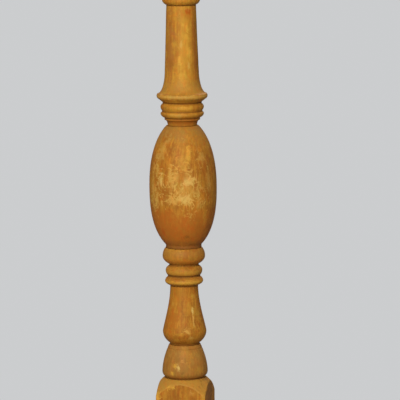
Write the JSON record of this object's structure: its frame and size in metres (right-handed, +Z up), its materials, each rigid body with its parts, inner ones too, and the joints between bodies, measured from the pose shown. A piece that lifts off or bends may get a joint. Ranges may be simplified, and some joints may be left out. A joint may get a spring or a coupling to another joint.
{
  "type": "candlestick",
  "caption": "Tall turned wooden candlestick with a long oval bulb, ringed collars and a square moulded plinth on bun feet; a brass drip pan with candle socket lifts out of the top.",
  "frame": {"origin": "centre of the square footprint, on the surface that the feet stand on", "axes": "+Z up along the turned stem; X and Y along the sides of the square plinth, -Y to the front"},
  "size_m": [0.15, 0.15, 0.6584],
  "materials": {
    "golden_wood": "worn satin, golden brown, pale where rubbed",
    "orange_wood": "worn satin, orange brown, pale where rubbed",
    "brown_wood": "worn satin, darker brown",
    "aged_brass": "dull, tarnished",
    "dark_iron": "dull, oxidised"
  },
  "bodies": {
    "stand": {"nozzle": "golden_wood", "column": "golden_wood", "upper_collar": "golden_wood", "bulb": "orange_wood", "lower_collar": "orange_wood", "baluster": "orange_wood", "bell": "brown_wood", "block": "golden_wood", "tenon_wedge": "brown_wood", "base_moulding": "brown_wood", "base_screws": "dark_iron", "plinth": "golden_wood", "foot_front_left": "brown_wood", "foot_front_right": "brown_wood", "foot_back_left": "brown_wood", "foot_back_right": "brown_wood"},
    "candle_cup": {"drip_pan": "aged_brass", "socket_tube": "aged_brass", "socket_floor": "aged_brass"}
  },
  "joints": [
    {"name": "cup_lift", "type": "slide", "parent": "stand", "child": "candle_cup", "axis": [0, 0, 1], "range_m": [0, 0.04]}
  ]
}
